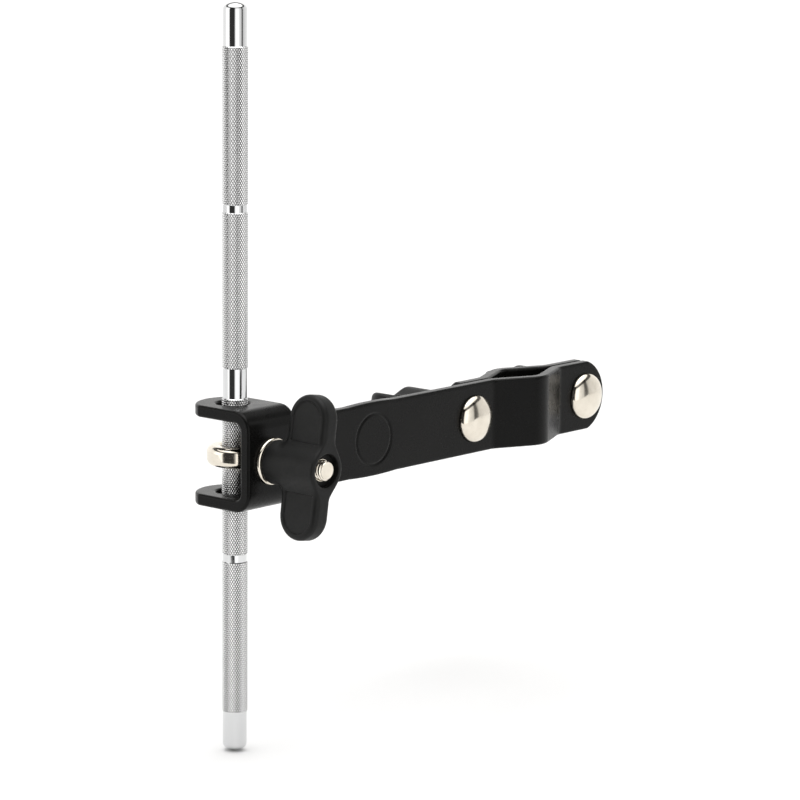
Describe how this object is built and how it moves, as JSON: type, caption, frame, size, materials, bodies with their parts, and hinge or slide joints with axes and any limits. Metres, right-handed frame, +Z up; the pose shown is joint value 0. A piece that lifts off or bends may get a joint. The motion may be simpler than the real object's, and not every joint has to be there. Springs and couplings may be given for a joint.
{
  "type": "percussion mounting clamp",
  "caption": "Stand clamp with two V jaws, a flat steel arm, and a U bracket whose eyebolt and wing nut hold a knurled accessory rod.",
  "frame": {"origin": "middle of the tube that the closed jaws grip: on the plane where the two plates meet, at the plates' mid-height", "axes": "+X along the arm from the accessory rod towards the free jaw end, +Y from the arm towards the loose jaw and its wing nuts, +Z up along the gripped tube and the accessory rod"},
  "size_m": [0.243, 0.0688, 0.305],
  "materials": {
    "coat": "satin black powder coat on steel",
    "nylon": "matte black moulded nylon",
    "nickel": "polished warm nickel plate",
    "rod": "bright chrome plate, diamond knurled"
  },
  "bodies": {
    "arm": {"front_arm": "coat", "mid_carriage_bolt": "nickel", "end_carriage_bolt": "nickel", "front_washer": "nickel"},
    "rod": {"mounting_rod": "rod"},
    "eye": {"eye_bolt": "nickel"},
    "front_nut": {"front_wing_nut": "nylon", "front_nut_insert": "nickel"},
    "jaw": {"rear_jaw": "coat", "mid_washer": "nickel", "end_washer": "nickel"},
    "mid_nut": {"mid_wing_nut": "nylon", "mid_nut_insert": "nickel"},
    "end_nut": {"end_wing_nut": "nylon", "end_nut_insert": "nickel"}
  },
  "joints": [
    {"name": "rod_slide", "type": "slide", "parent": "arm", "child": "rod", "axis": [0, 0, 1], "range_m": [-0.155, 0.098]},
    {"name": "front_nut_turn", "type": "hinge", "parent": "arm", "child": "front_nut", "pos_m": [-0.16, -0.0064, -0.0004], "axis": [0, -1, 0], "range_deg": [0, 285]},
    {"name": "eye_release", "type": "slide", "parent": "arm", "child": "eye", "axis": [0, 1, 0], "range_m": [0, 0.00098]},
    {"name": "jaw_open", "type": "slide", "parent": "arm", "child": "jaw", "axis": [0, 1, 0], "range_m": [0, 0.00875]},
    {"name": "mid_nut_turn", "type": "hinge", "parent": "jaw", "child": "mid_nut", "pos_m": [-0.0349, 0.0064, 0], "axis": [0, 1, 0], "range_deg": [0, 2520]},
    {"name": "end_nut_turn", "type": "hinge", "parent": "jaw", "child": "end_nut", "pos_m": [0.0398, 0.0064, 0], "axis": [0, 1, 0], "range_deg": [0, 2520]}
  ],
  "couplings": [
    {"joint": "front_nut_turn", "follows": "eye_release", "rad_per_m": 5026.5},
    {"joint": "mid_nut_turn", "follows": "jaw_open", "rad_per_m": 5026.5},
    {"joint": "end_nut_turn", "follows": "jaw_open", "rad_per_m": 5026.5}
  ]
}
